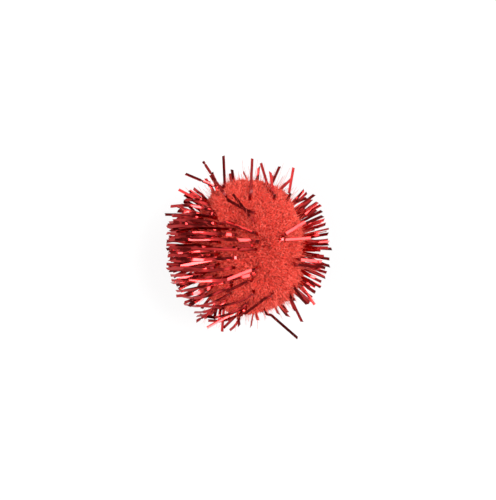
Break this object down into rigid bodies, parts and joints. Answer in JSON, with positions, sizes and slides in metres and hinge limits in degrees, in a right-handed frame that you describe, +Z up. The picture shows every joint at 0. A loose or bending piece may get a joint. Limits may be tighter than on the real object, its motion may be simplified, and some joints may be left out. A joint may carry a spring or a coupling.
{
  "type": "tinsel pom pom",
  "caption": "Small round craft pom pom: soft fibre pile and foil tinsel strips, tied across the middle with thread.",
  "frame": {"origin": "on the surface that the pom pom stands on, in the middle of the flat that its weight presses in the pile, under the tie", "axes": "+Z up; +X to the right along the tow, level, over the end that is tilted down; +Y across the tow, along the parting between the two half balls"},
  "size_m": [0.0253, 0.028, 0.0213],
  "materials": {
    "pile": "soft crimped fibre, matt with a slight sheen",
    "foil": "metallised film, mirror gloss, red tint",
    "thread": "twisted thread, matt"
  },
  "bodies": {
    "root": {"tie_thread": "thread", "pile_tuft_01": "pile", "pile_tuft_02": "pile", "pile_tuft_03": "pile", "pile_tuft_04": "pile", "pile_tuft_05": "pile", "pile_tuft_06": "pile", "pile_tuft_07": "pile", "pile_tuft_08": "pile", "pile_tuft_09": "pile", "pile_tuft_10": "pile", "pile_tuft_11": "pile", "pile_tuft_12": "pile", "pile_tuft_13": "pile", "pile_tuft_14": "pile", "pile_tuft_15": "pile", "tinsel_strip_01": "foil", "tinsel_strip_02": "foil", "tinsel_strip_03": "foil", "tinsel_strip_04": "foil", "tinsel_strip_05": "foil", "tinsel_strip_06": "foil", "tinsel_strip_07": "foil", "tinsel_strip_08": "foil", "tinsel_strip_09": "foil", "tinsel_strip_10": "foil", "tinsel_strip_11": "foil", "tinsel_strip_12": "foil", "tinsel_strip_13": "foil", "tinsel_strip_14": "foil", "tinsel_strip_15": "foil", "tinsel_strip_16": "foil", "tinsel_strip_17": "foil", "tinsel_strip_18": "foil", "tinsel_strip_19": "foil", "tinsel_strip_20": "foil", "tinsel_strip_21": "foil", "tinsel_strip_22": "foil", "tinsel_strip_23": "foil", "tinsel_strip_24": "foil", "tinsel_strip_25": "foil", "tinsel_strip_26": "foil", "tinsel_strip_27": "foil", "tinsel_strip_28": "foil", "tinsel_strip_29": "foil", "tinsel_strip_30": "foil", "tinsel_strip_31": "foil", "tinsel_strip_32": "foil", "tinsel_strip_33": "foil", "tinsel_strip_34": "foil", "tinsel_strip_35": "foil", "tinsel_strip_36": "foil", "tinsel_layer_1": "foil", "tinsel_layer_2": "foil", "tinsel_layer_3": "foil", "tinsel_layer_4": "foil", "tinsel_layer_5": "foil", "tinsel_layer_6": "foil"}
  },
  "joints": []
}
